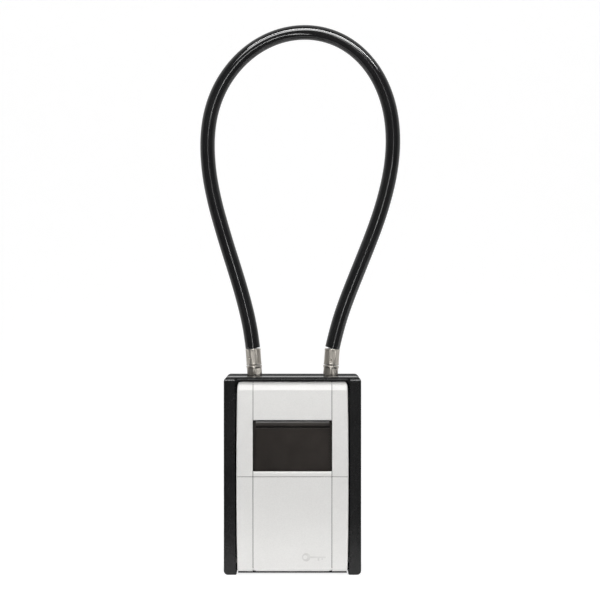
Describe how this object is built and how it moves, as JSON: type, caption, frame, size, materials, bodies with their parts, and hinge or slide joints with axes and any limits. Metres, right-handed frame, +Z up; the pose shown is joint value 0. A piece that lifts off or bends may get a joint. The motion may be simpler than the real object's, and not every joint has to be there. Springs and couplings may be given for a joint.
{
  "type": "key lock box",
  "caption": "Portable key safe: cast body in a black bumper frame, silver drop-down door, sliding shutter over code dials, sprung release latch and a sheathed cable loop to hang it.",
  "frame": {"origin": "centre of the flat back of the rear housing, at mid height of the body", "axes": "+Z up towards the cable loop, -Y out of the front door, +X to the right seen from the front"},
  "size_m": [0.1222, 0.05, 0.3318],
  "materials": {
    "cast_black": "satin",
    "bumper_black": "fine moulded grain",
    "silver_paint": "fine metallic satin",
    "tray_black": "matt",
    "shutter_grey": "satin",
    "dial_black": "semi-gloss",
    "steel": "brushed",
    "zinc": "as cast",
    "spring_steel": "bright",
    "ferrule_steel": "satin",
    "rope_steel": "stranded",
    "sheath_black": "glossy",
    "rubber_black": "matt",
    "brass": "satin"
  },
  "bodies": {
    "housing": {"rear_housing": "cast_black", "surround_frame": "bumper_black", "hinge_pin": "steel", "socket_block": "zinc", "block_screw_left": "steel", "block_screw_right": "steel", "entry_bush_left": "rubber_black", "entry_bush_right": "rubber_black", "key_hook": "steel", "key_hook_screw": "steel", "key_pad": "rubber_black"},
    "door": {"front_cover": "silver_paint", "door_tray": "tray_black", "dial_bezel": "tray_black", "lock_frame": "steel", "dial_spindle": "steel", "dial_detent_spring": "spring_steel", "lock_cover": "tray_black", "latch_spring": "spring_steel", "door_screw_1": "steel", "door_screw_2": "steel", "door_screw_3": "steel", "door_screw_4": "steel"},
    "shutter_slide": {"shutter": "shutter_grey"},
    "latch": {"release_button": "tray_black", "latch_bolt": "steel"},
    "locking_bar_slide": {"locking_bar": "steel"},
    "code_lever": {"code_change_lever": "brass"},
    "cable": {"cable_sheath": "sheath_black", "cable_core": "rope_steel", "crimp_sleeve_left": "ferrule_steel", "crimp_sleeve_right": "ferrule_steel", "end_fitting_left": "ferrule_steel", "end_fitting_right": "ferrule_steel", "retaining_clip": "spring_steel"},
    "cable_catch": {"cable_release_slider": "steel"},
    "dial_1": {"dial_ring_1": "dial_black", "cam_sleeve_1": "zinc"},
    "dial_2": {"dial_ring_2": "dial_black", "cam_sleeve_2": "zinc"},
    "dial_3": {"dial_ring_3": "dial_black", "cam_sleeve_3": "zinc"},
    "dial_4": {"dial_ring_4": "dial_black", "cam_sleeve_4": "zinc"}
  },
  "joints": [
    {"name": "door_hinge", "type": "hinge", "parent": "housing", "child": "door", "pos_m": [0, -0.042, -0.051], "axis": [1, 0, 0], "range_deg": [0, 88]},
    {"name": "shutter_travel", "type": "slide", "parent": "door", "child": "shutter_slide", "axis": [0, 0, 1], "range_m": [-0.026, 0]},
    {"name": "release_travel", "type": "slide", "parent": "door", "child": "latch", "axis": [0, 0, 1], "range_m": [-0.005, 0], "stiffness_N_per_m": 250, "deforming": ["latch_spring"]},
    {"name": "locking_bar_travel", "type": "slide", "parent": "door", "child": "locking_bar_slide", "axis": [0, 1, 0], "range_m": [-0.0026, 0]},
    {"name": "code_lever_turn", "type": "hinge", "parent": "door", "child": "code_lever", "pos_m": [-0.014, -0.0145, 0.022], "axis": [0, 1, 0], "range_deg": [0, 90]},
    {"name": "cable_lift", "type": "slide", "parent": "housing", "child": "cable", "axis": [0, 0, 1], "range_m": [0, 0.01]},
    {"name": "cable_catch_travel", "type": "slide", "parent": "housing", "child": "cable_catch", "axis": [1, 0, 0], "range_m": [0, 0.0025]},
    {"name": "dial_1_turn", "type": "hinge", "parent": "door", "child": "dial_1", "pos_m": [-0.0184, -0.0352, 0.021], "axis": [1, 0, 0], "continuous": true},
    {"name": "dial_2_turn", "type": "hinge", "parent": "door", "child": "dial_2", "pos_m": [-0.01, -0.0352, 0.021], "axis": [1, 0, 0], "continuous": true},
    {"name": "dial_3_turn", "type": "hinge", "parent": "door", "child": "dial_3", "pos_m": [-0.0016, -0.0352, 0.021], "axis": [1, 0, 0], "continuous": true},
    {"name": "dial_4_turn", "type": "hinge", "parent": "door", "child": "dial_4", "pos_m": [0.0068, -0.0352, 0.021], "axis": [1, 0, 0], "continuous": true}
  ],
  "couplings": [
    {"joint": "locking_bar_travel", "follows": "release_travel", "ratio": 0.52}
  ]
}
